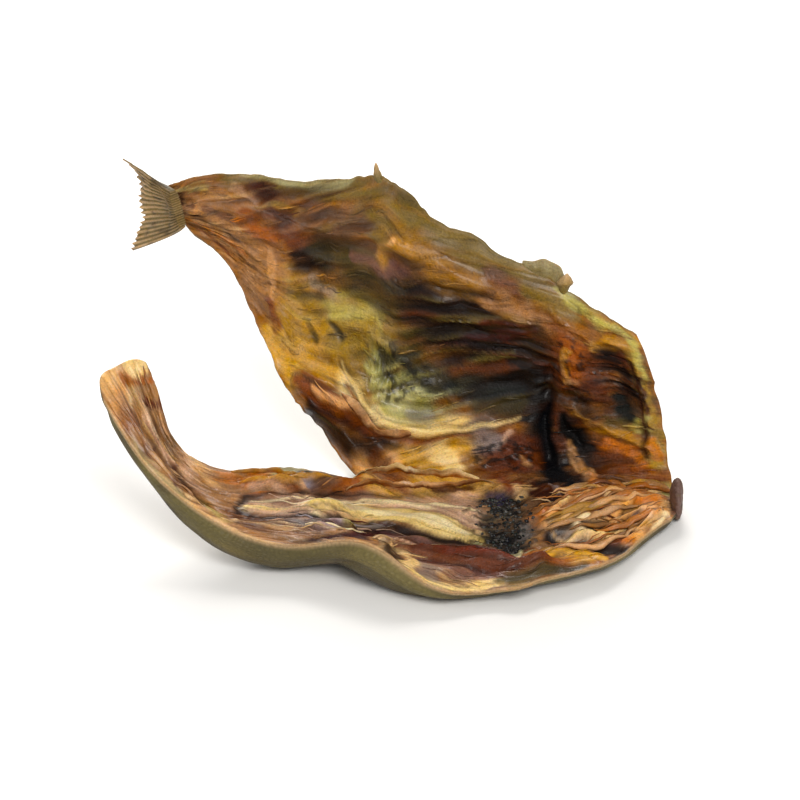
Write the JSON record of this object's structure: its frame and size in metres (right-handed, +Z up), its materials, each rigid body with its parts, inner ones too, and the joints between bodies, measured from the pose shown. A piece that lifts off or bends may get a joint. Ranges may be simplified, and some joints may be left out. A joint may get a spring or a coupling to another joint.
{
  "type": "dried rabbitfish",
  "caption": "Whole dried rabbitfish, split along the back and opened like a book: one half lies flat, the other stands, with curled tails and a forked tail fin.",
  "frame": {"origin": "middle of the fish's box, on the plane it rests on", "axes": "+X towards the head along the fish's length, +Z up from the plane it rests on, +Y from the lying half towards the standing half"},
  "size_m": [0.138, 0.127, 0.0714],
  "materials": {
    "dried_flesh": "dried fish flesh and skin: amber to dark brown with an oily sheen inside, grey-green and dull outside"
  },
  "bodies": {
    "root": {"dried_fish": "dried_flesh"}
  },
  "joints": []
}
